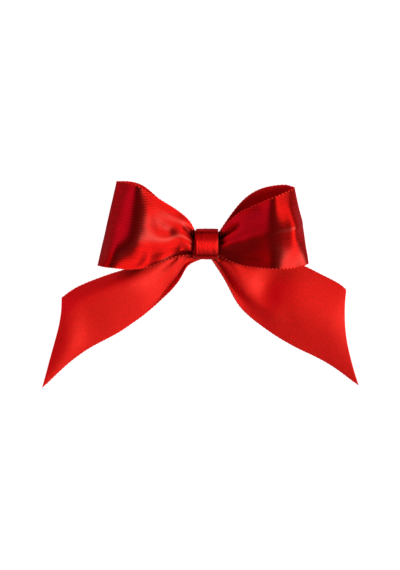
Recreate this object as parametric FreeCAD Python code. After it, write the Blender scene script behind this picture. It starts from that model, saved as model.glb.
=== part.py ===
import FreeCAD, Part

# A pre-made satin gift bow, in millimetres. It lies on its back: +Z is its front, -Y is where the
# tails point, and the origin is the middle of the back of its adhesive pad's release liner.
#
# One strip of satin makes both loops and both tails. It runs from the right tail's tip, behind the
# knot, round the left loop, over the front of the knot, round the right loop, behind the knot again
# and out to the left tail's tip. Inside the knot its full width is folded into narrow pleats. A
# thread ties the pleats, and a strip of narrower ribbon is wound round them twice and glued.

import math
import os

from FreeCAD import Vector

# ---- driving dimensions ----

ribbon_width = 22.0
ribbon_thickness = 0.3

left_loop_reach = 23.6  # from the side of the wrap to the outer bend
right_loop_reach = 22.4
loop_depth = 9.6  # from the back layer to the front layer, at the deepest
loop_back_height = 4.1  # the back layer over the surface that the bow lies on
loop_rise_deg = 12.7  # how far the loops point up from level, towards +Y

left_tail_length = 53.1  # from near the knot to the tip of the slanting cut
left_tail_fall_deg = 31.0  # how far it points down from level, towards -Y
left_tail_crown = 6.6  # how high it arches
right_tail_length = 49.5
right_tail_fall_deg = 29.5
right_tail_crown = 4.6

wrap_ribbon_width = 6.0
wrap_ribbon_thickness = 0.25
wrap_corner = 0.8  # inside radius of the wrap's corners
wrap_join = -1.4  # where the inner end lies at the back, from the middle towards +Y
wrap_jog = 0.3  # the length over which the strip steps over its inner end
glue_film = 0.14  # between the wrap's two turns
glue_inset = 0.5  # from the wrap's sides to the glue

gather_height = 5.9  # height of the pleated strip inside the knot, along Y
pleat_layer_depth = 1.12  # depth of each of the three pleated layers, along Z
pleat_walls = 11  # folds of the strip side by side in each layer
layer_gap = 0.1

thread_diameter = 0.25
thread_turns = 4
thread_step = 0.8  # how far each side of the middle a turn starts to step sideways
thread_step_bend = 1.5
thread_gap = 0.05

pad_length = 8.0
pad_width = 6.4
pad_thickness = 0.9
pad_corner = 1.2
liner_thickness = 0.1
liner_tab = 1.4
liner_gap = 0.02

root_gap = 1.4  # between the wrap and the parts of the strip that bend away from it
gather_overhang = 0.2  # how far the pleats stick out of the wrap
tail_root_low = -4.4  # the tails' edges where they come out of the knot, along Y
tail_root_high = 2.6
tail_root_pleat = 0.2

# ---- sizes that follow ----

half_ribbon = ribbon_width / 2
half_wrap = wrap_ribbon_width / 2
wrap_floor = liner_thickness + liner_gap + pad_thickness  # the wrap's outer back face
turn_step = wrap_ribbon_thickness + glue_film
wrap_inside_floor = wrap_floor + turn_step + wrap_ribbon_thickness
thread_room = thread_diameter + 2 * thread_gap
gather_floor = wrap_inside_floor + thread_room
gather_depth = 3 * pleat_layer_depth + 2 * layer_gap
gather_middle = gather_floor + gather_depth / 2
gather_length = wrap_ribbon_width + 2 * gather_overhang
root_out = half_wrap + root_gap
wrap_in_y = gather_height / 2 + thread_room + wrap_ribbon_thickness / 2  # middle of the inner turn
wrap_in_low = wrap_inside_floor - wrap_ribbon_thickness / 2
wrap_in_high = gather_floor + gather_depth + thread_room + wrap_ribbon_thickness / 2
glue_start = wrap_join + 4.5 * wrap_jog


def solid_of(faces):
    shell = Part.makeShell(faces)
    shell.sewShape()
    solid = Part.makeSolid(Part.Shell(shell.Faces))
    if solid.Volume < 0:
        solid.reverse()
    return solid


def sheet_solid(middle, thickness):
    """A closed sheet whose middle surface passes through a grid of points: rows run along the strip."""
    rows, columns = len(middle), len(middle[0])

    def offset(side):
        grid = []
        for i in range(rows):
            line = []
            for j in range(columns):
                along = middle[min(i + 1, rows - 1)][j] - middle[max(i - 1, 0)][j]
                across = middle[i][min(j + 1, columns - 1)] - middle[i][max(j - 1, 0)]
                normal = along.cross(across).normalize()
                line.append(middle[i][j] + normal * (side * thickness / 2))
            grid.append(line)
        surface = Part.BSplineSurface()
        surface.interpolate(grid)
        return surface

    upper, lower = offset(1), offset(-1)
    faces = [upper.toShape(), lower.toShape()]
    edges = []
    for surface in (upper, lower):
        u0, u1, v0, v1 = surface.bounds()
        edges.append([surface.uIso(u0), surface.uIso(u1), surface.vIso(v0), surface.vIso(v1)])
    for a, b in zip(*edges):
        faces.append(Part.makeRuledSurface(a.toShape(), b.toShape(), 1))
    return solid_of(Part.makeCompound(faces).Faces)


# ---- the loops ----

# Stations round a loop, from the front of the knot out to the bend and back behind the knot.
# Each is (out, up, low, high, pleat): out and up place its middle, as shares of the reach and the
# depth; low and high are its two edges, as shares of half the ribbon's width; pleat is how deep the
# pleats still are there, in millimetres.
front_stations = [
    (0.10, 0.17, -0.32, 0.38, 0.30),
    (0.17, 0.28, -0.40, 0.52, 0.50),
    (0.34, 0.54, -0.60, 0.70, 0.70),
    (0.53, 0.83, -0.84, 0.84, 0.50),
    (0.66, 0.97, -0.93, 0.88, 0.30),
    (0.77, 1.00, -0.98, 0.92, 0.15),
    (0.90, 0.87, -1.00, 0.96, 0.05),
    (1.00, 0.50, -1.00, 1.00, 0.00),
]
back_stations = [
    (0.93, 0.15, -0.98, 1.04, 0.00),
    (0.77, 0.02, -0.92, 1.07, 0.00),
    (0.56, 0.00, -0.78, 1.00, 0.10),
    (0.35, 0.00, -0.58, 0.76, 0.20),
    (0.17, 0.01, -0.40, 0.52, 0.20),
]
# The pleats across a loop, from its lower edge to its upper edge: 1 is a ridge and -1 a valley.
left_pleats = [-1.4, -0.2, 0.7, 0.9, -1.0, 0.6, 0.0]
right_pleats = [-0.4, -0.9, 0.1, 1.1, 0.2, -0.6, 0.4]


def loop(side, reach, pleats):
    """A loop: side is -1 for the left one and 1 for the right one."""
    rise = math.radians(loop_rise_deg)
    outward = Vector(side * math.cos(rise), math.sin(rise), 0)
    upward = Vector(-side * math.sin(rise), math.cos(rise), 0)
    root = Vector(side * half_wrap, 0, 0)
    front_z = gather_middle + pleat_layer_depth * 0.75
    back_z = gather_middle
    root_share = gather_height / ribbon_width
    stations = [(root_gap / reach, front_z, -root_share, root_share, 0.2)]
    for out, up, low, high, pleat in front_stations + back_stations:
        stations.append((out, loop_back_height + up * loop_depth, low, high, pleat))
    stations.append((root_gap / reach, back_z, -root_share, root_share, 0.1))

    centres = [root + outward * (s[0] * reach) + Vector(0, 0, s[1]) for s in stations]
    grid = []
    for i, (_, _, low, high, pleat) in enumerate(stations):
        along = centres[min(i + 1, len(centres) - 1)] - centres[max(i - 1, 0)]
        normal = upward.cross(along).normalize() * side
        across = Vector(0, 1, 0) if i in (0, len(stations) - 1) else upward
        row = []
        for j, share in enumerate(pleats):
            v = low + (high - low) * j / (len(pleats) - 1)
            row.append(centres[i] + across * (v * half_ribbon) + normal * (pleat * share))
        grid.append(row)
    return sheet_solid(grid, ribbon_thickness)


# ---- the tails ----

# Stations along a tail, from the knot to the slanting cut. Each is (low along, low across, high
# along, high across, heights): along is a share of the tail's length and across a share of half
# the ribbon's width, at the lower edge and at the upper edge; heights are the seven heights from
# the lower edge to the upper edge, as shares of the tail's crown.
left_tail_stations = [
    (0.10, -0.18, 0.08, 0.42, [0.26, 0.34, 0.27, 0.34, 0.27, 0.31, 0.26]),
    (0.195, -0.39, 0.185, 0.37, [0.26, 0.44, 0.40, 0.40, 0.30, 0.26, 0.20]),
    (0.32, -0.54, 0.30, 0.41, [0.18, 0.50, 0.64, 0.62, 0.48, 0.32, 0.16]),
    (0.46, -0.63, 0.415, 0.59, [0.13, 0.52, 0.80, 0.90, 0.82, 0.56, 0.18]),
    (0.60, -0.63, 0.53, 0.71, [0.11, 0.50, 0.84, 1.00, 0.94, 0.68, 0.26]),
    (0.725, -0.60, 0.623, 0.75, [0.10, 0.46, 0.78, 0.97, 0.95, 0.74, 0.36]),
    (0.86, -0.68, 0.665, 0.75, [0.08, 0.36, 0.64, 0.85, 0.90, 0.73, 0.40]),
    (1.00, -0.84, 0.687, 0.74, [0.06, 0.24, 0.48, 0.71, 0.82, 0.72, 0.42]),
]
right_tail_stations = [
    (0.10, -0.42, 0.09, 0.36, [0.42, 0.62, 0.30, 0.56, 0.46, 0.42, 0.38]),
    (0.22, -0.78, 0.20, 0.46, [0.40, 0.66, 0.26, 0.66, 0.56, 0.44, 0.36]),
    (0.36, -0.94, 0.33, 0.58, [0.28, 0.48, 0.34, 0.62, 0.48, 0.38, 0.40]),
    (0.51, -1.01, 0.45, 0.68, [0.18, 0.36, 0.50, 0.60, 0.50, 0.42, 0.44]),
    (0.65, -1.00, 0.56, 0.75, [0.12, 0.36, 0.58, 0.74, 0.74, 0.68, 0.62]),
    (0.79, -0.96, 0.64, 0.77, [0.12, 0.38, 0.62, 0.82, 0.92, 0.92, 0.86]),
    (0.90, -1.01, 0.67, 0.765, [0.10, 0.32, 0.58, 0.80, 0.94, 1.00, 0.98]),
    (1.00, -1.06, 0.69, 0.76, [0.08, 0.26, 0.52, 0.76, 0.92, 1.00, 1.00]),
]


def tail(side, length, fall_deg, crown, stations):
    """A tail: side is -1 for the left one and 1 for the right one."""
    fall = math.radians(fall_deg)
    outward = Vector(side * math.cos(fall), -math.sin(fall), 0)
    upward = Vector(side * math.sin(fall), math.cos(fall), 0)
    start = Vector(side * (half_wrap - 1.0), -gather_height / 3, 0)
    columns = len(stations[0][4])
    root = []
    for j in range(columns):
        y = tail_root_low + (tail_root_high - tail_root_low) * j / (columns - 1)
        root.append(Vector(side * root_out, y, gather_floor + tail_root_pleat * (j % 2)))
    grid = [root]
    for low_along, low_across, high_along, high_across, heights in stations:
        low = start + outward * (low_along * length) + upward * (low_across * half_ribbon)
        high = start + outward * (high_along * length) + upward * (high_across * half_ribbon)
        row = []
        for j, height in enumerate(heights):
            place = low + (high - low) * (j / (columns - 1))
            row.append(place + Vector(0, 0, max(height * crown, ribbon_thickness)))
        grid.append(row)
    return sheet_solid(grid, ribbon_thickness)


# ---- inside the knot ----


def pleated_layer(floor):
    """The strip folded into narrow pleats, as it passes through the knot."""
    spacing = (gather_height - ribbon_thickness) / (pleat_walls - 1)
    bend = spacing / 2
    low = floor + ribbon_thickness / 2 + bend
    high = floor + pleat_layer_depth - ribbon_thickness / 2 - bend
    x = -gather_length / 2
    edges = []
    for i in range(pleat_walls):
        y = -gather_height / 2 + ribbon_thickness / 2 + i * spacing
        start, end = (low, high) if i % 2 == 0 else (high, low)
        edges.append(Part.makeLine(Vector(x, y, start), Vector(x, y, end)))
        if i < pleat_walls - 1:
            crest = end + bend if i % 2 == 0 else end - bend
            points = [Vector(x, y, end), Vector(x, y + bend, crest), Vector(x, y + spacing, end)]
            edges.append(Part.Arc(*points).toShape())
    outline = Part.Wire(edges).makeOffset2D(ribbon_thickness / 2, 0, False, False)
    return Part.Face(outline).extrude(Vector(gather_length, 0, 0))


def rounded_path(points, radii):
    """Straight runs joined by tangent arcs, one radius for each point between the two ends."""
    edges = []
    last = points[0]
    for before, corner, after, radius in zip(points, points[1:], points[2:], radii):
        back, on = (before - corner).normalize(), (after - corner).normalize()
        half_angle = back.getAngle(on) / 2
        reach = radius / math.tan(half_angle)
        centre = corner + (back + on).normalize() * (radius / math.sin(half_angle))
        middle = centre + (corner - centre).normalize() * radius
        edges.append(Part.makeLine(last, corner + back * reach))
        edges.append(Part.Arc(corner + back * reach, middle, corner + on * reach).toShape())
        last = corner + on * reach
    edges.append(Part.makeLine(last, points[-1]))
    return Part.Wire(edges)


def centre_wrap():
    """The narrow ribbon wound twice round the pleats, from an inner end to an outer end at the back."""
    jog_start = wrap_join + wrap_jog
    path = [
        (wrap_join, wrap_in_low),
        (-wrap_in_y, wrap_in_low),
        (-wrap_in_y, wrap_in_high),
        (wrap_in_y, wrap_in_high),
        (wrap_in_y, wrap_in_low),
        (jog_start + 2 * wrap_jog, wrap_in_low),
        (jog_start + wrap_jog, wrap_in_low - turn_step),
        (-wrap_in_y - turn_step, wrap_in_low - turn_step),
        (-wrap_in_y - turn_step, wrap_in_high + turn_step),
        (wrap_in_y + turn_step, wrap_in_high + turn_step),
        (wrap_in_y + turn_step, wrap_in_low - turn_step),
        (glue_start, wrap_in_low - turn_step),
    ]
    inner = wrap_corner + wrap_ribbon_thickness / 2
    outer = inner + turn_step
    radii = [inner] * 4 + [wrap_ribbon_thickness] * 2 + [outer] * 4
    route = rounded_path([Vector(-half_wrap, y, z) for y, z in path], radii)
    outline = route.makeOffset2D(wrap_ribbon_thickness / 2, 0, False, False)
    return Part.Face(outline).extrude(Vector(wrap_ribbon_width, 0, 0))


def glue_bead():
    """Hot-melt glue between the wrap's outer end and the turn that it lies on."""
    low = wrap_in_low - turn_step + wrap_ribbon_thickness / 2
    width = wrap_ribbon_width - 2 * glue_inset
    length = wrap_in_y - wrap_corner - wrap_ribbon_thickness / 2 - glue_start
    return Part.makeBox(width, length, glue_film, Vector(-width / 2, glue_start, low))


def binding_thread():
    """Thread wound round the pleats. At the back each turn steps sideways to the next one."""
    radius = thread_diameter / 2
    side = gather_height / 2 + thread_gap + radius
    low = gather_floor - thread_gap - radius
    high = gather_floor + gather_depth + thread_gap + radius
    pitch = thread_diameter + thread_gap / 2
    bend = wrap_corner - thread_gap - radius
    first = -pitch * (thread_turns - 1) / 2
    points = [Vector(first, thread_step / 2, low)]
    radii = []
    for i in range(thread_turns):
        x = first + i * pitch
        if i > 0:
            points.append(Vector(x, thread_step, low))
            radii.append(thread_step_bend)
        points += [Vector(x, y, z) for y, z in ((side, low), (side, high), (-side, high), (-side, low))]
        radii += [bend] * 4
        if i < thread_turns - 1:
            points.append(Vector(x, -thread_step, low))
            radii.append(thread_step_bend)
    points.append(Vector(-first, -thread_step / 2, low))
    path = rounded_path(points, radii)
    section = Part.Wire([Part.makeCircle(radius, points[0], points[1] - points[0])])
    return path.makePipeShell([section], True, False).Solids[0]


# ---- the adhesive pad ----


def rounded_plate(length, width, thickness, corner, z):
    box = Part.makeBox(length, width, thickness, Vector(-length / 2, -width / 2, z))
    upright = [e for e in box.Edges if abs(e.tangentAt(e.FirstParameter).z) > 0.9]
    return box.makeFillet(corner, upright).Solids[0]


def release_liner():
    """The pad's peel-off paper, with a small tab to lift it by."""
    plate = rounded_plate(pad_length, pad_width, liner_thickness, pad_corner, 0)
    tab_length = pad_width / 2
    tab = Part.makeBox(2 * liner_tab, tab_length, liner_thickness)
    upright = [e for e in tab.Edges if abs(e.tangentAt(e.FirstParameter).z) > 0.9]
    tab = tab.makeFillet(liner_tab / 2, upright)
    tab.translate(Vector(pad_length / 2 - liner_tab, -tab_length / 2, 0))
    return plate.fuse(tab).removeSplitter().Solids[0]


def main():
    os.makedirs("parts", exist_ok=True)
    nodes = {
        "left_loop": loop(-1, left_loop_reach, left_pleats),
        "right_loop": loop(1, right_loop_reach, right_pleats),
        "left_tail": tail(-1, left_tail_length, left_tail_fall_deg, left_tail_crown, left_tail_stations),
        "right_tail": tail(1, right_tail_length, right_tail_fall_deg, right_tail_crown, right_tail_stations),
        "front_gather": pleated_layer(gather_floor + 2 * (pleat_layer_depth + layer_gap)),
        "middle_gather": pleated_layer(gather_floor + pleat_layer_depth + layer_gap),
        "back_gather": pleated_layer(gather_floor),
        "binding_thread": binding_thread(),
        "centre_wrap": centre_wrap(),
        "glue_bead": glue_bead(),
        "foam_pad": rounded_plate(
            pad_length, pad_width, pad_thickness, pad_corner, liner_thickness + liner_gap
        ),
        "release_liner": release_liner(),
    }
    for name, shape in nodes.items():
        print(name, shape.ShapeType, shape.isValid(), round(shape.Volume, 3), len(shape.Faces))
        shape.exportStep(f"parts/{name}.step")


main()
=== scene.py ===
import math

import bmesh
import bpy
import numpy as np
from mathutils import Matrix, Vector, noise


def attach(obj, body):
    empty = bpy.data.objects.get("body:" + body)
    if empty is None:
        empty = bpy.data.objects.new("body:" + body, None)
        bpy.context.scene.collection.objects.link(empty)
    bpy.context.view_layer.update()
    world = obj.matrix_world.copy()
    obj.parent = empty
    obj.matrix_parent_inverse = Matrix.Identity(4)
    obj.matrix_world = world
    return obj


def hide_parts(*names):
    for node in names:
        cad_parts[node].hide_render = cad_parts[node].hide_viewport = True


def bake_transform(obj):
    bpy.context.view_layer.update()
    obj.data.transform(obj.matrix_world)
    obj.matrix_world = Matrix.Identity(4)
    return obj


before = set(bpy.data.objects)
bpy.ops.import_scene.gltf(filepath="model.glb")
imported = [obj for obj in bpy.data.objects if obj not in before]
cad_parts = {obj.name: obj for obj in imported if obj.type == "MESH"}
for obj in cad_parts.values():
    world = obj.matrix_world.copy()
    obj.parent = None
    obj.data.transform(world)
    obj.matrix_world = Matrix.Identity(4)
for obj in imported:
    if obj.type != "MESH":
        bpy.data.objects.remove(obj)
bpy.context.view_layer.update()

mm = 0.001
ribbonWidth = 22.0  # mm, the wide ribbon of the loops and tails
ribbonUv = "RibbonUv"  # millimetres along and across the cloth


# small helpers

def hexToLinear(text):
    channels = [int(text[i:i + 2], 16) / 255 for i in (1, 3, 5)]
    linear = [c / 12.92 if c <= 0.04045 else ((c + 0.055) / 1.055) ** 2.4 for c in channels]
    return (*linear, 1.0)


def addNode(tree, kind, settings=None, links=None):
    made = tree.nodes.new(kind)
    for key, value in (settings or {}).items():
        if isinstance(key, str) and hasattr(made, key):
            setattr(made, key, value)
        else:
            made.inputs[key].default_value = value
    for key, source in (links or {}).items():
        tree.links.new(source, made.inputs[key])
    return made


def splineThrough(knots, values, at):
    # natural cubic spline through the values given at rising knots
    count = len(knots)
    gap = np.diff(knots)
    flat = values.reshape(count, -1)
    system = np.zeros((count, count))
    system[0, 0] = system[-1, -1] = 1
    wanted = np.zeros_like(flat)
    slope = np.diff(flat, axis=0) / gap[:, None]
    for i in range(1, count - 1):
        system[i, i - 1:i + 2] = gap[i - 1], 2 * (gap[i - 1] + gap[i]), gap[i]
        wanted[i] = 6 * (slope[i] - slope[i - 1])
    bend = np.linalg.solve(system, wanted)
    i = np.clip(np.searchsorted(knots, at, side="right") - 1, 0, count - 2)
    b = ((at - knots[i]) / gap[i])[:, None]
    a = 1 - b
    curve = a * flat[i] + b * flat[i + 1]
    curve += ((a ** 3 - a) * bend[i] + (b ** 3 - b) * bend[i + 1]) * gap[i][:, None] ** 2 / 6
    return curve.reshape((len(at),) + values.shape[1:])


def unit(vectors):
    return vectors / np.linalg.norm(vectors, axis=-1, keepdims=True)


# cloth

cloth = {
    "thickness": 0.24,  # mm, of the satin
    "grain": 0.28,  # mm between rows and between columns of the mesh
    "rumple": 0.04,  # mm, unevenness that any handled ribbon has
    "rumpleNearKnot": 0.08,
    "rumpleSize": 3.2,  # mm
    "rumpleReach": 6,  # mm from the knot over which it calms down
    "pleatFalloff": 1.5,
}


def clothSurface(piece):
    # rows run across the strip: low edge, high edge, heights between them, and how far each point
    # stands forward of the straight line from edge to edge
    low = np.array([row[0] for row in piece["rows"]], float)
    high = np.array([row[1] for row in piece["rows"]], float)
    heights = np.array([row[2] for row in piece["rows"]], float)
    lag = np.array([np.broadcast_to(row[3], heights.shape[1]) for row in piece["rows"]], float)
    middle = (low + high) / 2
    knots = np.concatenate([[0], np.cumsum(np.linalg.norm(np.diff(middle, axis=0), axis=1))])
    along = unit(np.gradient(middle, knots, axis=0))
    across = high - low
    normal = unit(np.cross(along, across)) * piece["side"]
    share = np.linspace(0, 1, heights.shape[1])
    control = low[:, None] + across[:, None] * share[None, :, None]
    control = control + normal[:, None] * heights[:, :, None]
    control = control + along[:, None] * lag[:, :, None]
    if "root" in piece:
        control[0] = piece["root"]
    u = np.linspace(0, knots[-1], int(knots[-1] / cloth["grain"]))
    v = np.linspace(0, 1, int(ribbonWidth / cloth["grain"]))
    strip = splineThrough(knots, control, u)
    return splineThrough(share, strip.transpose(1, 0, 2), v).transpose(1, 0, 2), u, v


def surfaceNormals(surface, side):
    return unit(np.cross(np.gradient(surface, axis=0), np.gradient(surface, axis=1))) * side


def pressFolds(surface, u, v, piece):
    # a fold is a soft ridge, or a valley when its height is negative, between two places on the strip
    normal = surfaceNormals(surface, piece["side"])
    lift = np.zeros(surface.shape[:2])
    x, y = np.meshgrid(u, v * ribbonWidth, indexing="ij")
    for fold in piece["folds"]:
        start, end = np.array(fold["start"], float), np.array(fold["end"], float)
        run = end - start
        t = np.clip(((x - start[0]) * run[0] + (y - start[1]) * run[1]) / (run @ run), 0, 1)
        away = np.hypot(x - start[0] - t * run[0], y - start[1] - t * run[1])
        width = fold["width"] * (1 + t * (fold.get("spread", 1) - 1))
        height = fold["height"] * (1 + t * (fold.get("fade", 1) - 1))
        lift += height * np.exp(-(away / width) ** 2)
    knotEnds = np.minimum(u, u[-1] - u) if piece["loop"] else u
    size = cloth["rumple"] + cloth["rumpleNearKnot"] * np.exp(-knotEnds / cloth["rumpleReach"])
    pleats = piece["pleats"]
    wave = np.cos(2 * math.pi * (pleats["count"] * v + pleats["shift"]))
    fade = np.exp(-((knotEnds / pleats["reach"]) ** cloth["pleatFalloff"]))[:, None]
    lift += pleats["depth"] * fade * wave * np.sin(math.pi * v)
    for i in range(len(u)):
        for j in range(len(v)):
            place = Vector((u[i], v[j] * ribbonWidth, piece["seed"])) / cloth["rumpleSize"]
            lift[i, j] += size[i] * noise.noise(place)
    return surface + normal * lift[:, :, None]


def clothMesh(name, surface, side, along, across, thickness, materials):
    # both faces, and the edges between them; the first material is on the side that the normals face
    rows, columns = surface.shape[:2]
    normal = surfaceNormals(surface, side)
    half = thickness / 2
    points = np.concatenate([surface + normal * half, surface - normal * half]).reshape(-1, 3) * mm
    index = np.arange(rows * columns).reshape(rows, columns)
    below = index + rows * columns
    faces, slots = [], []
    for i in range(rows - 1):
        for j in range(columns - 1):
            faces.append((index[i, j], index[i + 1, j], index[i + 1, j + 1], index[i, j + 1]))
            faces.append((below[i, j], below[i, j + 1], below[i + 1, j + 1], below[i + 1, j]))
            slots += [0, 1]
    rim = [*index[0, :-1], *index[:-1, -1], *index[-1, :0:-1], *index[:0:-1, 0]]
    for a, b in zip(rim, rim[1:] + rim[:1]):
        faces.append((a, b, b + rows * columns, a + rows * columns))
        slots.append(2)
    mesh = bpy.data.meshes.new(name)
    mesh.from_pydata(points.tolist(), [], [tuple(map(int, face)) for face in faces])
    mesh.polygons.foreach_set("material_index", slots)
    layer = mesh.uv_layers.new(name=ribbonUv)
    flat = np.stack(np.meshgrid(along, across, indexing="ij"), axis=-1).reshape(-1, 2)
    flat = np.concatenate([flat, flat])
    loopPoints = np.empty(len(mesh.loops), int)
    mesh.loops.foreach_get("vertex_index", loopPoints)
    layer.data.foreach_set("uv", flat[loopPoints].ravel())
    for material in materials:
        mesh.materials.append(material)
    shell = bmesh.new()
    shell.from_mesh(mesh)
    bmesh.ops.recalc_face_normals(shell, faces=shell.faces)
    shell.to_mesh(mesh)
    shell.free()
    mesh.shade_smooth()
    made = bpy.data.objects.new(name, mesh)
    bpy.context.collection.objects.link(made)
    return made


# materials

def newMaterial(name):
    material = bpy.data.materials.new(name)
    material.use_nodes = True
    material.node_tree.nodes.clear()
    return material


def satinFace(name, deep, pale, shine):
    # polyester satin, shiny face: long warp floats run along the ribbon, so the gloss is a band
    # across it, tinted by the dyed thread, and it goes dark where the cloth looks straight out
    material = newMaterial(name)
    tree = material.node_tree
    uv = addNode(tree, "ShaderNodeUVMap", {"uv_map": ribbonUv})
    # warp ends lie 0.08 mm apart, too fine to show: the streaks are drawn 0.4 mm wide, 6 mm long
    stretch = addNode(tree, "ShaderNodeMapping", {"Scale": (0.16, 2.4, 1.0)}, {0: uv.outputs[0]})
    streaks = addNode(
        tree, "ShaderNodeTexNoise", {"Scale": 1.0, "Detail": 4.0, "Roughness": 0.6},
        {0: stretch.outputs[0]}
    )
    # the float pattern crosses the warp at about 60 degrees: its lines are 0.3 mm apart, and are
    # drawn 0.6 mm apart so that they show
    turn = addNode(
        tree, "ShaderNodeMapping", {"Rotation": (0, 0, math.radians(-62))}, {0: uv.outputs[0]}
    )
    floats = addNode(
        tree, "ShaderNodeTexWave",
        {"Scale": 0.52, "Distortion": 1.0, "Detail": 2.0, "Detail Scale": 1.5}, {0: turn.outputs[0]}
    )
    grain = addNode(
        tree, "ShaderNodeMath", {"operation": "MULTIPLY_ADD", 1: 0.45},
        {0: floats.outputs[1], 2: streaks.outputs[0]}
    )
    tone = addNode(
        tree, "ShaderNodeMix",
        {"data_type": "RGBA", 6: hexToLinear(deep), 7: hexToLinear(pale)}, {0: grain.outputs[0]}
    )
    bump = addNode(
        tree, "ShaderNodeBump", {"Strength": 0.45, "Distance": 0.06 * mm}, {"Height": grain.outputs[0]}
    )
    tangent = addNode(tree, "ShaderNodeTangent", {"direction_type": "UV_MAP", "uv_map": ribbonUv})
    shader = addNode(
        tree, "ShaderNodeBsdfPrincipled",
        {
            "Metallic": shine, "Roughness": 0.58, "Anisotropic": 0.96, "Anisotropic Rotation": 0.25,
            "Specular IOR Level": 0.2, "Coat Weight": 0.26, "Coat Roughness": 0.36, "Coat IOR": 1.45,
        },
        {"Base Color": tone.outputs[2], "Normal": bump.outputs[0], "Tangent": tangent.outputs[0]}
    )
    addNode(tree, "ShaderNodeOutputMaterial", None, {"Surface": shader.outputs[0]})
    return material


def satinBack(name, deep, pale):
    # the same cloth's duller face: short weft floats in a diagonal twill that the eye can follow
    material = newMaterial(name)
    tree = material.node_tree
    uv = addNode(tree, "ShaderNodeUVMap", {"uv_map": ribbonUv})
    turn = addNode(
        tree, "ShaderNodeMapping", {"Rotation": (0, 0, math.radians(-61))}, {0: uv.outputs[0]}
    )
    # the twill lines are 0.3 mm apart, drawn at 0.55 mm so that they show
    twill = addNode(
        tree, "ShaderNodeTexWave",
        {"Scale": 0.571, "Distortion": 0.5, "Detail": 2.0, "Detail Scale": 1.2}, {0: turn.outputs[0]}
    )
    slubs = addNode(
        tree, "ShaderNodeTexNoise", {"Scale": 1.3, "Detail": 3.0, "Roughness": 0.65}, {0: uv.outputs[0]}
    )
    shade = addNode(
        tree, "ShaderNodeMath", {"operation": "MULTIPLY_ADD", 1: 0.6, "use_clamp": True},
        {0: twill.outputs[1], 2: slubs.outputs[0]}
    )
    tone = addNode(
        tree, "ShaderNodeMix",
        {"data_type": "RGBA", 6: hexToLinear(deep), 7: hexToLinear(pale)}, {0: shade.outputs[0]}
    )
    bump = addNode(
        tree, "ShaderNodeBump", {"Strength": 0.4, "Distance": 0.1 * mm}, {"Height": shade.outputs[0]}
    )
    tangent = addNode(tree, "ShaderNodeTangent", {"direction_type": "UV_MAP", "uv_map": ribbonUv})
    shader = addNode(
        tree, "ShaderNodeBsdfPrincipled",
        {
            "Metallic": 0.12, "Roughness": 0.6, "Anisotropic": 0.5, "Anisotropic Rotation": 0.25,
            "Specular IOR Level": 0.2,
        },
        {"Base Color": tone.outputs[2], "Normal": bump.outputs[0], "Tangent": tangent.outputs[0]}
    )
    addNode(tree, "ShaderNodeOutputMaterial", None, {"Surface": shader.outputs[0]})
    return material


def plainYarn(name, deep, pale, twist):
    # polyester yarn: a soft gloss that the twist breaks up, on the selvage, the cut edge and the thread
    material = newMaterial(name)
    tree = material.node_tree
    place = addNode(tree, "ShaderNodeTexCoord")
    # the twist repeats every 0.2 mm, drawn at 0.3 to 0.6 mm
    fibres = addNode(
        tree, "ShaderNodeTexNoise", {"Scale": twist, "Detail": 3.0, "Roughness": 0.7},
        {0: place.outputs["Object"]}
    )
    tone = addNode(
        tree, "ShaderNodeMix",
        {"data_type": "RGBA", 6: hexToLinear(deep), 7: hexToLinear(pale)}, {0: fibres.outputs[0]}
    )
    bump = addNode(
        tree, "ShaderNodeBump", {"Strength": 0.3, "Distance": 0.05 * mm}, {"Height": fibres.outputs[0]}
    )
    shader = addNode(
        tree, "ShaderNodeBsdfPrincipled",
        {"Metallic": 0.4, "Roughness": 0.5, "Specular IOR Level": 0.2},
        {"Base Color": tone.outputs[2], "Normal": bump.outputs[0]}
    )
    addNode(tree, "ShaderNodeOutputMaterial", None, {"Surface": shader.outputs[0]})
    return material


def closedFoam(name):
    # polyethylene foam tape: off-white and matt, with fine closed cells
    material = newMaterial(name)
    tree = material.node_tree
    place = addNode(tree, "ShaderNodeTexCoord")
    # cells are 0.2 mm across, drawn at 0.4 mm
    cells = addNode(
        tree, "ShaderNodeTexVoronoi", {"Scale": 2500.0}, {0: place.outputs["Object"]}
    )
    tone = addNode(
        tree, "ShaderNodeMix",
        {"data_type": "RGBA", 6: hexToLinear("#d9d8d2"), 7: hexToLinear("#f3f2ee")},
        {0: cells.outputs[0]}
    )
    bump = addNode(
        tree, "ShaderNodeBump", {"Strength": 0.5, "Distance": 0.08 * mm}, {"Height": cells.outputs[0]}
    )
    shader = addNode(
        tree, "ShaderNodeBsdfPrincipled",
        {"Roughness": 0.85, "Subsurface Weight": 0.1, "Subsurface Scale": 0.5 * mm},
        {"Base Color": tone.outputs[2], "Normal": bump.outputs[0]}
    )
    addNode(tree, "ShaderNodeOutputMaterial", None, {"Surface": shader.outputs[0]})
    return material


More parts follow.
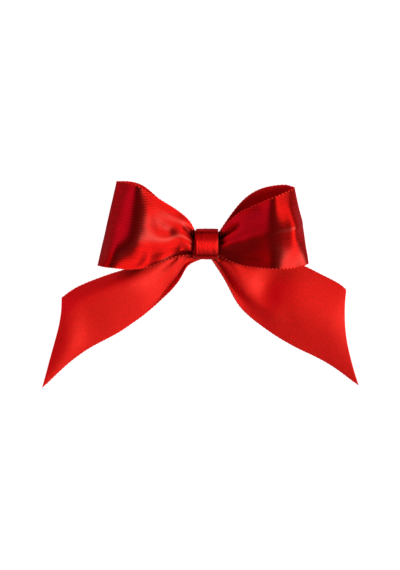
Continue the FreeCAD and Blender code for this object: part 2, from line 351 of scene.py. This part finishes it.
def glassinePaper(name):
    # silicone-coated release paper: pale yellow, smooth, with a slight sheen and faint fibres
    material = newMaterial(name)
    tree = material.node_tree
    place = addNode(tree, "ShaderNodeTexCoord")
    stretch = addNode(
        tree, "ShaderNodeMapping", {"Scale": (1.0, 4.0, 1.0)}, {0: place.outputs["Object"]}
    )
    # the fibres lie in clouds about 1 mm across
    fibres = addNode(
        tree, "ShaderNodeTexNoise", {"Scale": 900.0, "Detail": 5.0, "Roughness": 0.7},
        {0: stretch.outputs[0]}
    )
    tone = addNode(
        tree, "ShaderNodeMix",
        {"data_type": "RGBA", 6: hexToLinear("#e2d6b0"), 7: hexToLinear("#efe6c8")},
        {0: fibres.outputs[0]}
    )
    bump = addNode(
        tree, "ShaderNodeBump", {"Strength": 0.15, "Distance": 0.03 * mm}, {"Height": fibres.outputs[0]}
    )
    shader = addNode(
        tree, "ShaderNodeBsdfPrincipled", {"Roughness": 0.38, "Coat Weight": 0.2},
        {"Base Color": tone.outputs[2], "Normal": bump.outputs[0]}
    )
    addNode(tree, "ShaderNodeOutputMaterial", None, {"Surface": shader.outputs[0]})
    return material


def hotMelt(name):
    # ethylene-vinyl acetate glue, melted on: milky, slightly yellow, softly glossy
    material = newMaterial(name)
    tree = material.node_tree
    place = addNode(tree, "ShaderNodeTexCoord")
    # the milkiness gathers in patches 1.7 mm across
    cloud = addNode(
        tree, "ShaderNodeTexNoise", {"Scale": 600.0, "Detail": 2.0}, {0: place.outputs["Object"]}
    )
    tone = addNode(
        tree, "ShaderNodeMix",
        {"data_type": "RGBA", 6: hexToLinear("#d8cfb4"), 7: hexToLinear("#ece6d4")},
        {0: cloud.outputs[0]}
    )
    shader = addNode(
        tree, "ShaderNodeBsdfPrincipled",
        {"Roughness": 0.3, "Subsurface Weight": 0.3, "Subsurface Scale": 1.0 * mm},
        {"Base Color": tone.outputs[2]}
    )
    addNode(tree, "ShaderNodeOutputMaterial", None, {"Surface": shader.outputs[0]})
    return material


satin = satinFace("SatinWarpFace", "#8a0307", "#d41410", 0.86)
# painted light: the wrap's satin is a lighter copy of the loops' satin, so that the wrap's front comes out
# brighter
wrapSatinPaintedLighter = satinFace("NarrowSatinWarpFacePaintedLighter", "#8c0308", "#ee1a17", 0.86)
twillBack = satinBack("SatinTwillBack", "#a4080b", "#fa2822")
# painted highlight: the selvage yarn is lighter than the ribbon so that the weft loops stand out bright
selvage = plainYarn("WovenSelvagePaintedHighlight", "#e02a22", "#ff503c", 2600.0)
# the cut-edge yarn is dark red on the cloth's rims, and on the selvage cord that darkness is painted shade
cutEdgeAndShadedCord = plainYarn("HeatCutEdgeAndPaintedShadeCord", "#70060b", "#a00c14", 1800.0)
# painted shade: a darker copy of the twill back for the inside of the loops, since inside a loop the cloth
# only gets light that the red cloth opposite has thrown back
twillBackPaintedShade = satinBack("SatinTwillBackInLoopPaintedShade", "#a4060c", "#e01216")
sewingThread = plainYarn("PolyesterSewingThread", "#7a060d", "#b51820", 3000.0)
foam = closedFoam("PolyethyleneFoam")
liner = glassinePaper("GlassineRelease")
glue = hotMelt("HotMeltGlue")
print("materials ready")


# selvage: an edge cord with the small loops of weft that turn round it; the loops are painted lighter as
# highlight and the cord darker as shade

wideSelvage = {  # mm, on the loops and tails
    "Pitch": 1.0,
    "Cord Radius": 0.12,
    "Loop Length": 0.30,
    "Loop Radius": 0.21,
}


def selvageTree():
    tree = bpy.data.node_groups.new("SelvageLoops", "GeometryNodeTree")
    tree.interface.new_socket("Geometry", in_out="INPUT", socket_type="NodeSocketGeometry")
    for label in wideSelvage:
        tree.interface.new_socket(label, in_out="INPUT", socket_type="NodeSocketFloat")
    tree.interface.new_socket("Loop Yarn Painted Highlight", in_out="INPUT", socket_type="NodeSocketMaterial")
    tree.interface.new_socket("Cord Yarn Painted Shade", in_out="INPUT", socket_type="NodeSocketMaterial")
    tree.interface.new_socket("Geometry", in_out="OUTPUT", socket_type="NodeSocketGeometry")
    given = addNode(tree, "NodeGroupInput").outputs
    edge = addNode(tree, "GeometryNodeMeshToCurve", None, {0: given[0]})
    section = addNode(
        tree, "GeometryNodeCurvePrimitiveCircle", {"Resolution": 6}, {"Radius": given["Cord Radius"]}
    )
    cord = addNode(
        tree, "GeometryNodeCurveToMesh", {"Fill Caps": True},
        {"Curve": edge.outputs[0], "Profile Curve": section.outputs[0]}
    )
    spots = addNode(
        tree, "GeometryNodeResampleCurve", {"mode": "LENGTH"},
        {"Curve": edge.outputs[0], "Length": given["Pitch"]}
    )
    tangent = addNode(tree, "GeometryNodeInputTangent")
    facing = addNode(
        tree, "FunctionNodeAlignRotationToVector", {"axis": "Z"}, {"Vector": tangent.outputs[0]}
    )
    bead = addNode(tree, "GeometryNodeMeshUVSphere", {"Segments": 8, "Rings": 6, "Radius": 1.0})
    size = addNode(
        tree, "ShaderNodeCombineXYZ", None,
        {"X": given["Loop Radius"], "Y": given["Loop Radius"], "Z": given["Loop Length"]}
    )
    loops = addNode(
        tree, "GeometryNodeInstanceOnPoints", None,
        {"Points": spots.outputs[0], "Instance": bead.outputs[0], "Rotation": facing.outputs[0],
         "Scale": size.outputs[0]}
    )
    real = addNode(tree, "GeometryNodeRealizeInstances", None, {0: loops.outputs[0]})
    # painted light: the weft loops take the lighter yarn as a highlight, the cord the darker yarn as shade
    loopsPaintedHighlight = addNode(
        tree, "GeometryNodeSetMaterial", None,
        {"Geometry": real.outputs[0], "Material": given["Loop Yarn Painted Highlight"]}
    )
    cordPaintedShade = addNode(
        tree, "GeometryNodeSetMaterial", None,
        {"Geometry": cord.outputs[0], "Material": given["Cord Yarn Painted Shade"]}
    )
    joined = addNode(tree, "GeometryNodeJoinGeometry", None, {0: loopsPaintedHighlight.outputs[0]})
    tree.links.new(cordPaintedShade.outputs[0], joined.inputs[0])
    smooth = addNode(tree, "GeometryNodeSetShadeSmooth", None, {0: joined.outputs[0]})
    addNode(tree, "NodeGroupOutput", None, {0: smooth.outputs[0]})
    return tree


selvageNodes = selvageTree()


def selvageOn(name, edges, sizes):
    # edges are lines of points in millimetres
    points, lines = [], []
    for edge in edges:
        first = len(points)
        points += [tuple(point * mm) for point in edge]
        lines += [(first + i, first + i + 1) for i in range(len(edge) - 1)]
    mesh = bpy.data.meshes.new(name + "_line")
    mesh.from_pydata(points, lines, [])
    line = bpy.data.objects.new(name + "_line", mesh)
    bpy.context.collection.objects.link(line)
    modifier = line.modifiers.new("Selvage", "NODES")
    modifier.node_group = selvageNodes
    inputs = {label: size * mm for label, size in sizes.items()}
    # lighter loop yarn is painted highlight, darker cord yarn painted shade
    inputs.update({"Loop Yarn Painted Highlight": selvage, "Cord Yarn Painted Shade": cutEdgeAndShadedCord})
    for item in selvageNodes.interface.items_tree:
        if item.in_out == "INPUT" and item.name in inputs:
            modifier[item.identifier] = inputs[item.name]
    shown = line.evaluated_get(bpy.context.evaluated_depsgraph_get())
    made = bpy.data.objects.new(name, bpy.data.meshes.new_from_object(shown))
    bpy.data.objects.remove(line)
    bpy.context.collection.objects.link(made)
    return made


# the loops and tails

flatRow = [0] * 9


def bowed(depth):
    return [depth * 4 * share * (1 - share) for share in np.linspace(0, 1, 9)]


leftLoop = {
    "node": "left_loop", "side": -1, "loop": True, "seed": 3.7,
    "pleats": {"count": 4, "shift": 0.15, "depth": 0.16, "reach": 4.0},
    "rows": [
        ((-3.2, -3.0, 4.7), (-3.2, 3.3, 4.9), [0, 0.5, 0.8, 0.9, 0.8, 0.5, -0.2, 0.4, 0], 0),
        ((-5.2, -2.95, 5.1), (-4.6, 5.8, 5.7), [0, 0.5, 1.3, 1.7, 1.6, 1.2, 0.6, 0.9, 0], 0),
        ((-8.3, -3.4, 5.2), (-7.5, 8.5, 7.0), [0, 0.5, 1.8, 2.5, 2.5, 2.0, 1.4, 1.1, 0], 0),
        ((-12.4, -5.0, 5.8), (-11.0, 10.7, 8.7), [0, 1.0, 2.5, 3.3, 3.2, 2.6, 1.8, 1.2, 0], 0),
        ((-16.7, -6.2, 6.5), (-14.6, 12.9, 10.6), [0, 1.45, 3.1, 3.9, 3.7, 3.0, 2.2, 1.2, 0], 0),
        ((-18.9, -6.5, 7.7), (-16.4, 14.0, 11.5), [0, 1.8, 3.2, 3.8, 3.5, 2.9, 2.1, 1.0, 0], 0),
        ((-20.9, -6.5, 8.8), (-17.9, 14.8, 11.9), [0, 1.8, 3.0, 3.4, 2.9, 2.3, 1.5, 0.6, 0], 0),
        ((-24.3, -6.2, 10.6), (-20.4, 15.6, 10.3), [0, 1.3, 1.5, 1.1, 0.8, 0.6, 0.4, 0.1, 0], 0),
        ((-27.2, -5.8, 9.2), (-22.5, 16.0, 8.1), [0, 0.2, 0.25, 0.2, 0.2, 0.1, 0.1, 0, 0], 0),
        ((-28.3, -5.5, 7.1), (-23.4, 16.1, 7.0), flatRow, 0),
        ((-27.5, -5.6, 5.4), (-22.8, 16.2, 5.3), flatRow, 0),
        ((-24.3, -5.9, 4.5), (-20.7, 16.2, 4.4), flatRow, 0),
        ((-19.8, -5.9, 4.2), (-16.9, 15.2, 4.2), flatRow, 0),
        ((-14.5, -5.2, 4.1), (-12.9, 12.0, 4.2), [0, 0.1, 0.2, 0.1, 0, 0.1, 0.2, 0.1, 0], 0),
        ((-9.5, -4.0, 4.0), (-8.7, 8.6, 4.2), [0, 0.2, 0.4, 0.2, 0, 0.2, 0.4, 0.2, 0], 0),
        ((-5.5, -3.1, 3.9), (-5.0, 5.0, 4.1), [0, 0.2, 0.4, 0.1, -0.1, 0.2, 0.4, 0.1, 0], 0),
        ((-3.2, -2.9, 3.9), (-3.2, 2.9, 3.9), [0, 0.2, 0.3, 0.1, -0.1, 0.2, 0.3, 0.1, 0], 0),
    ],
    "folds": [
        {"start": (0, 14.6), "end": (4.5, 15.6), "width": 0.9, "spread": 1.6, "height": -1.1, "fade": 0.0},
        {"start": (8.6, 12.4), "end": (10.6, 13.2), "width": 2.5, "height": -0.42},
        {"start": (4.4, 12.0), "end": (5.6, 12.2), "width": 2.2, "height": 0.3},
        {"start": (5, 4.2), "end": (19, 2.6), "width": 1.2, "height": 0.5, "fade": 0.1},
        {"start": (2, 1.7), "end": (13, 1.2), "width": 1.1, "height": -1.0, "fade": 0.0},
    ],
}

rightLoop = {
    "node": "right_loop", "side": 1, "loop": True, "seed": 11.2,
    "pleats": {"count": 4, "shift": 0.6, "depth": 0.15, "reach": 4.0},
    "rows": [
        ((3.2, -3.0, 4.7), (3.2, 3.1, 4.9), [0, 0.5, 0.8, 0.9, 0.8, 0.5, -0.1, 0.2, 0], 0),
        ((5.0, -4.0, 4.8), (5.0, 5.0, 5.6), [0, 0.5, 1.0, 1.4, 1.5, 1.1, 0.4, 0.4, 0], 0),
        ((8.8, -5.4, 5.7), (8.2, 7.9, 6.8), [0, 0.4, 1.0, 1.7, 2.0, 1.7, 1.2, 0.7, 0], 0),
        ((12.2, -6.0, 7.0), (11.9, 9.7, 8.1), [0, 0.3, 0.8, 1.5, 2.1, 1.9, 1.5, 0.9, 0], 0),
        ((15.4, -6.3, 8.3), (14.9, 11.0, 9.3), [0, 0.2, 0.7, 1.3, 2.0, 2.0, 1.6, 0.9, 0], 0),
        ((18.1, -6.45, 9.0), (17.1, 11.9, 10.2), [0, 0.3, 0.7, 1.3, 1.9, 2.0, 1.5, 0.8, 0], 0),
        ((20.6, -6.45, 8.2), (19.0, 12.7, 9.6), [0, 0.5, 1.1, 1.8, 2.4, 2.3, 1.5, 0.7, 0], 0),
        ((23.2, -6.1, 7.0), (20.8, 13.5, 8.6), [0, 0.5, 1.2, 2.0, 2.6, 2.4, 1.5, 0.6, 0], 0),
        ((25.3, -5.5, 6.3), (22.1, 14.1, 7.6), [0, 0.3, 0.6, 0.9, 1.0, 0.9, 0.5, 0.2, 0], 0),
        ((26.3, -5.0, 5.4), (22.7, 14.6, 6.3), [0, 0.1, 0.1, 0.2, 0.2, 0.2, 0.1, 0, 0], 0),
        ((25.6, -5.0, 4.6), (22.2, 14.8, 5.1), flatRow, 0),
        ((23.3, -5.2, 4.3), (21.0, 15.2, 4.4), flatRow, 0),
        ((19.3, -5.2, 4.2), (17.5, 15.1, 4.2), flatRow, 0),
        ((14.5, -4.7, 4.1), (13.6, 14.1, 4.2), [0, 0.1, 0.2, 0.1, 0, 0.1, 0.2, 0.1, 0], 0),
        ((9.5, -3.8, 4.0), (9.3, 11.2, 4.2), [0, 0.2, 0.4, 0.2, 0, 0.2, 0.4, 0.2, 0], 0),
        ((5.6, -3.1, 3.9), (5.3, 6.2, 4.1), [0, 0.2, 0.4, 0.1, -0.1, 0.2, 0.4, 0.1, 0], 0),
        ((3.2, -2.9, 3.9), (3.2, 3.1, 3.9), [0, 0.2, 0.3, 0.1, -0.1, 0.2, 0.3, 0.1, 0], 0),
    ],
    "folds": [
        {"start": (0, 15.6), "end": (6.5, 17.4), "width": 0.9, "spread": 1.7, "height": -1.1, "fade": 0.0},
        {"start": (0, 9.0), "end": (22, 12.3), "width": 1.2, "spread": 1.4, "height": 0.4, "fade": 0.9},
        {"start": (6, 5.5), "end": (17, 6.5), "width": 3.0, "height": -0.35},
    ],
}

leftTail = {
    "node": "left_tail", "side": -1, "loop": False, "seed": 19.4,
    "pleats": {"count": 4, "shift": 0.3, "depth": 0.75, "reach": 7.0},
    "root": [
        (-2.0, -4.02, 1.9), (-2.6, -4.0, 2.1), (-2.8, -3.8, 2.4), (-2.95, -3.1, 2.5), (-3.3, -2.2, 2.2),
        (-3.4, -0.9, 2.6), (-3.4, 0.3, 2.3), (-3.4, 1.5, 2.6), (-3.4, 2.6, 2.4),
    ],
    "rows": [
        ((-2.2, -4.1, 2.0), (-3.4, 2.6, 2.4), flatRow, 0),
        ((-4.9, -5.5, 2.9), (-6.2, 2.2, 2.6), [0, -0.5, 0.0, 0.5, 0.3, 0.6, 0.4, 0.3, 0], 0),
        ((-7.0, -8.9, 3.1), (-9.6, 0.2, 2.6), [0, -0.9, -0.2, 0.6, 0.9, 0.9, 0.7, 0.4, 0], 0),
        ((-10.8, -13.3, 2.1), (-14.0, -2.6, 2.3), [0, -0.5, 0.8, 2.0, 2.7, 2.9, 2.4, 1.3, 0], 0),
        ((-14.6, -16.8, 1.1), (-18.8, -5.6, 1.8), [0, 1.2, 2.8, 4.1, 5.1, 5.6, 5.4, 3.8, 0], 0),
        ((-19.3, -20.4, 0.5), (-24.3, -7.6, 1.6), [0, 1.7, 3.2, 4.6, 5.7, 6.4, 6.4, 4.8, 0], 0),
        ((-24.8, -23.9, 0.45), (-29.4, -9.4, 1.7), [0, 1.4, 2.8, 4.1, 5.2, 6.0, 6.1, 4.7, 0], 0),
        ((-31.0, -27.2, 0.4), (-33.8, -11.3, 2.0), [0, 1.2, 2.3, 3.4, 4.3, 5.1, 5.3, 4.1, 0], bowed(-0.3)),
        ((-37.2, -31.9, 0.35), (-36.4, -13.0, 2.5), [0, 2.0, 3.1, 3.6, 4.0, 4.3, 4.4, 3.3, 0], bowed(-0.6)),
        ((-43.0, -37.5, 0.3), (-37.8, -14.1, 2.8), [0, 0.1, 0.2, 0.6, 1.3, 2.2, 2.8, 2.2, 0], bowed(-0.8)),
    ],
    "folds": [
        {"start": (0, 4.0), "end": (7, 1.5), "width": 1.0, "height": -0.6, "fade": 0.2},
    ],
}

rightTail = {
    "node": "right_tail", "side": 1, "loop": False, "seed": 27.9,
    "pleats": {"count": 4, "shift": 0.1, "depth": 0.75, "reach": 6.0},
    "root": [
        (1.3, -4.02, 1.9), (2.2, -4.0, 2.1), (2.75, -3.85, 2.4), (2.85, -3.2, 2.6), (3.2, -2.3, 2.2),
        (3.3, -1.1, 2.6), (3.3, 0.1, 2.3), (3.3, 1.3, 2.6), (3.3, 2.4, 2.4),
    ],
    "rows": [
        ((1.3, -4.0, 1.9), (3.3, 2.4, 2.4), flatRow, 0),
        ((3.2, -6.9, 1.3), (7.6, 1.6, 2.8), [0, -0.3, 0.9, 2.0, 1.8, 1.1, 0.6, 0.3, 0], bowed(0.3)),
        ((5.4, -10.6, 0.9), (11.8, 0.6, 3.0), [0, -0.9, 1.5, 2.6, 1.9, 1.5, 1.1, 0.6, 0], 0),
        ((8.1, -15.5, 0.7), (16.0, -1.6, 3.2), [0, -0.3, 1.6, 2.2, 1.7, 1.4, 1.1, 0.7, 0], 0),
        ((12.8, -20.1, 0.6), (20.4, -3.8, 3.3), [0, 0.7, 1.7, 1.3, 0.7, 0.8, 1.0, 0.8, 0], 0),
        ((15.8, -22.3, 0.6), (22.8, -4.8, 3.4), [0, 1.2, 2.6, 3.0, 3.0, 2.6, 2.1, 1.3, 0], 0),
        ((18.0, -23.8, 0.6), (24.6, -5.5, 3.5), [0, 1.2, 2.5, 3.4, 3.8, 3.6, 2.8, 1.6, 0], 0),
        ((24.0, -27.2, 0.5), (28.9, -7.6, 3.8), [0, 1.2, 2.4, 3.5, 4.1, 4.0, 3.1, 1.7, 0], 0),
        ((30.3, -30.3, 0.4), (32.7, -9.5, 4.2), [0, 1.2, 2.3, 3.2, 3.8, 3.7, 2.8, 1.5, 0], bowed(-0.4)),
        ((35.4, -33.6, 0.35), (35.1, -11.0, 4.5), [0, 1.0, 2.0, 2.8, 3.2, 3.2, 2.4, 1.3, 0], bowed(-1.0)),
        ((39.5, -36.8, 0.3), (36.2, -12.1, 4.6), [0, 0.8, 1.5, 2.2, 2.6, 2.6, 2.0, 1.1, 0], bowed(-1.6)),
    ],
    "folds": [
        {"start": (3, 6.2), "end": (13, 5.2), "width": 0.9, "height": 0.4, "fade": 0.5},
    ],
}

ribbons = {}
for piece in (leftLoop, rightLoop, leftTail, rightTail):
    surface, u, v = clothSurface(piece)
    surface = pressFolds(surface, u, v, piece)
    # the loops' inner face takes the darker twill copy, which is painted shade
    materials = [satin, twillBackPaintedShade, cutEdgeAndShadedCord] if piece["loop"] else [twillBack, satin, cutEdgeAndShadedCord]
    name = piece["node"] + "_satin"
    strip = clothMesh(
        name, surface, piece["side"], u, v * ribbonWidth, cloth["thickness"], materials
    )
    # the cut melts the last of a tail's edge, so its selvage stops short
    edgeLine = surface[::2] if piece["loop"] else surface[:-4:2]
    edging = selvageOn(
        piece["node"] + "_selvage", [edgeLine[:, 0], edgeLine[:, -1]], wideSelvage
    )
    ribbons[piece["node"]] = (strip, edging, surface)
    print(name, "made with", len(strip.data.polygons), "faces")


# the centre wrap: two turns of narrow satin, the inner one slipped a little to the left

wrap = {
    "width": 5.65,  # mm
    "thickness": 0.22,
    "innerHalfHeight": 3.43,  # along Y, at the middle of the strip
    "innerLow": 1.535,
    "innerHigh": 6.045,
    "step": 0.39,  # from the inner turn to the outer one
    "corner": 1.2,
    "swell": 1.0,  # how far the front bulges over the pleats
    "crest": 0.6,  # where along Y it bulges most
    "crown": 0.16,  # how much the middle of the strip stands up from its edges
    "slipInner": -0.30,  # how far each turn lies from the middle along X
    "slipOuter": 0.02,
    "peek": 0.45,  # how much further left the inner turn comes where it shows
    "peekAt": 0.13,  # as shares of the strip's length
    "peekReach": 0.06,
    "ends": ((-1.4, -0.4), (-1.9, 0.2)),  # along Y at the back, of the inner turn and the outer one
    "crossing": (6, 2.5),  # how fast and how late the strip moves from one slip to the other
    "creases": (0.05, 0.04),  # the broad ones and the fine ones
    "creasePattern": (0.25, 9, 5.1),  # along the strip, across it, and its seed
    "grain": 0.12,
}

narrowSelvage = {  # mm, on the wrap
    "Pitch": 0.6,
    "Cord Radius": 0.07,
    "Loop Length": 0.16,
    "Loop Radius": 0.09,
}


def wrapLine():
    # (y, z) round the knot, from the inner end at the back to the outer end at the back
    points = []
    for turn in range(2):
        half = wrap["innerHalfHeight"] + wrap["step"] * turn
        low = wrap["innerLow"] - wrap["step"] * turn
        high = wrap["innerHigh"] + wrap["step"] * turn
        corner = wrap["corner"]
        start, end = wrap["ends"][turn]
        points.append((start, low))
        for y, z, bearing in ((-half, low, 270), (-half, high, 180), (half, high, 90), (half, low, 0)):
            inY, inZ = y - math.copysign(corner, y), z + (corner if z == low else -corner)
            for k in range(9):
                angle = math.radians(bearing - 90 * k / 8)
                points.append((inY + corner * math.cos(angle), inZ + corner * math.sin(angle)))
        points.append((end, low))
    return np.array(points)


def centreWrap():
    line = wrapLine()
    reach = np.concatenate([[0], np.cumsum(np.linalg.norm(np.diff(line, axis=0), axis=1))])
    u = np.linspace(0, reach[-1], int(reach[-1] / wrap["grain"]))
    y, z = np.interp(u, reach, line[:, 0]), np.interp(u, reach, line[:, 1])
    v = np.linspace(-0.5, 0.5, int(wrap["width"] / wrap["grain"]))
    flow = np.stack([np.gradient(y), np.gradient(z)], axis=1)
    out = unit(np.stack([-flow[:, 1], flow[:, 0]], axis=1))
    turned = u / u[-1]
    change = wrap["slipOuter"] - wrap["slipInner"]
    pace, delay = wrap["crossing"]
    slip = wrap["slipInner"] + change * np.clip(turned * pace - delay, 0, 1)
    slip = slip - wrap["peek"] * np.exp(-((turned - wrap["peekAt"]) / wrap["peekReach"]) ** 2)
    middle, crest = (wrap["innerLow"] + wrap["innerHigh"]) / 2, wrap["crest"]
    front = np.clip((z - middle) / (wrap["innerHigh"] - middle), 0, 1) ** 2
    span = np.where(y > crest, wrap["innerHalfHeight"] - crest, wrap["innerHalfHeight"] + crest)
    span = span + wrap["step"]
    swell = wrap["swell"] * front * np.clip(1 - ((y - crest) / span) ** 2, 0, 1)
    broad, fine = wrap["creases"]
    lengthwise, crosswise, seed = wrap["creasePattern"]
    surface = np.zeros((len(u), len(v), 3))
    for i in range(len(u)):
        for j in range(len(v)):
            place = Vector((u[i] * lengthwise, v[j] * crosswise, seed))
            crease = broad * noise.noise(place) + fine * noise.noise(place * 2.3)
            rise = wrap["crown"] * (1 - 4 * v[j] ** 2) * 0.5 + crease
            surface[i, j] = (
                v[j] * wrap["width"] + slip[i],
                y[i] + out[i, 0] * rise,
                z[i] + out[i, 1] * rise + swell[i],
            )
    return surface, u, (v + 0.5) * wrap["width"]


surface, wrapAlong, wrapAcross = centreWrap()
# the wrap takes the lighter satin copy, which is painted light
wrapStrip = clothMesh(
    "centre_wrap_satin", surface, -1, wrapAlong, wrapAcross, wrap["thickness"],
    [wrapSatinPaintedLighter, twillBack, cutEdgeAndShadedCord]
)
wrapEdging = selvageOn("centre_wrap_selvage", [surface[::2, 0], surface[::2, -1]], narrowSelvage)
print("wrap made with", len(wrapStrip.data.polygons), "faces")


# what stays as the frame has it

kept = {
    "front_gather": satin, "middle_gather": satin, "back_gather": satin,
    "binding_thread": sewingThread, "glue_bead": glue, "foam_pad": foam, "release_liner": liner,
}
for nodeName, material in kept.items():
    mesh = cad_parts[nodeName].data
    mesh.materials.clear()
    mesh.materials.append(material)


# bodies: the ribbons baked in place with the frame's pieces hidden, and the wrap hung on the knot

for nodeName, (strip, edging, surface) in ribbons.items():
    for piece in (strip, edging):
        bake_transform(piece)
    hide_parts(nodeName)
for piece in (wrapStrip, wrapEdging):
    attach(piece, "knot")
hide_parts("centre_wrap")
print("the wrap is cut", round(wrapAlong[-1], 1), "mm long")


# floor, light and camera

studio = {
    "floorSize": 3.0,  # metres
    "floorDrop": 0.2 * mm,  # so that it doesn't touch the liner's underside
    "floorGlow": 0.1,  # what reaches the bow, of the glow that the camera sees
    "worldColour": "#ffd0e0",
    "worldStrength": 0.07,
    "aim": (0, -0.01, 0),
    # place in metres, width, height, watts, colour: the fill is pink for crimson shadows
    "lights": {
        "KeySoftbox": ((0.455, -0.09, 0.365), 0.22, 0.34, 3.7, "#ffe8d2"),
        "FillCard": ((-0.44, 0.18, 0.23), 0.24, 0.34, 1.2, "#ff3a86"),
        "TopCard": ((0.05, -0.30, 0.5), 0.25, 0.20, 0.1, "#ffffff"),
    },
}


def addFloor():
    mesh = bpy.data.meshes.new("Floor")
    half = studio["floorSize"] / 2
    corners = [(-half, -half, 0), (half, -half, 0), (half, half, 0), (-half, half, 0)]
    mesh.from_pydata(corners, [], [(0, 1, 2, 3)])
    paper = newMaterial("SeamlessPaper")
    tree = paper.node_tree
    # pink paper that glows white where the camera looks straight at it: what it throws back at the
    # bow is weak and pink, which keeps the shadows crimson
    matt = addNode(tree, "ShaderNodeBsdfDiffuse", {"Color": hexToLinear("#d86c80")})
    rays = addNode(tree, "ShaderNodeLightPath")
    strength = addNode(
        tree, "ShaderNodeMath",
        {"operation": "MULTIPLY_ADD", 1: 1 - studio["floorGlow"], 2: studio["floorGlow"]},
        {0: rays.outputs["Is Camera Ray"]}
    )
    glow = addNode(
        tree, "ShaderNodeEmission", {"Color": (1, 1, 1, 1)}, {"Strength": strength.outputs[0]}
    )
    lit = addNode(tree, "ShaderNodeAddShader", None, {0: matt.outputs[0], 1: glow.outputs[0]})
    # from below the paper lets the underside of the bow be seen
    side = addNode(tree, "ShaderNodeNewGeometry")
    clear = addNode(tree, "ShaderNodeBsdfTransparent")
    sheet = addNode(
        tree, "ShaderNodeMixShader", None,
        {0: side.outputs["Backfacing"], 1: lit.outputs[0], 2: clear.outputs[0]}
    )
    addNode(tree, "ShaderNodeOutputMaterial", None, {"Surface": sheet.outputs[0]})
    mesh.materials.append(paper)
    floor = bpy.data.objects.new("Floor", mesh)
    floor.location.z = -studio["floorDrop"]
    bpy.context.collection.objects.link(floor)


def addSoftbox(name, place, width, height, watts, colour):
    light = bpy.data.lights.new(name, "AREA")
    light.shape = "RECTANGLE"
    light.size, light.size_y = width, height
    light.energy = watts
    light.color = hexToLinear(colour)[:3]
    made = bpy.data.objects.new(name, light)
    made.location = place
    towards = Vector(studio["aim"]) - Vector(place)
    made.rotation_euler = towards.to_track_quat("-Z", "Y").to_euler()
    bpy.context.collection.objects.link(made)


addFloor()
for name, facts in studio["lights"].items():
    addSoftbox(name, *facts)

world = bpy.data.worlds.new("Studio")
world.use_nodes = True
background = world.node_tree.nodes["Background"]
background.inputs[0].default_value = hexToLinear(studio["worldColour"])
background.inputs[1].default_value = studio["worldStrength"]
bpy.context.scene.world = world
bpy.context.scene.view_settings.view_transform = "Standard"

viewpoint = {
    "place": (-1.82 * mm, -10.66 * mm, 1.6),
    "level": 4 * mm,  # height above the floor at which the framing is set
    "height": 148.2 * mm,  # what the frame takes in there, from top to bottom
    "sensor": 36,
}
camera = bpy.data.objects.new("Camera", bpy.data.cameras.new("Camera"))
camera.location = viewpoint["place"]
camera.data.sensor_width = viewpoint["sensor"]
distance = viewpoint["place"][2] - viewpoint["level"]
camera.data.lens = viewpoint["sensor"] * distance / viewpoint["height"]
camera.data.clip_start = 0.01
bpy.context.collection.objects.link(camera)
bpy.context.scene.camera = camera
print("studio ready")
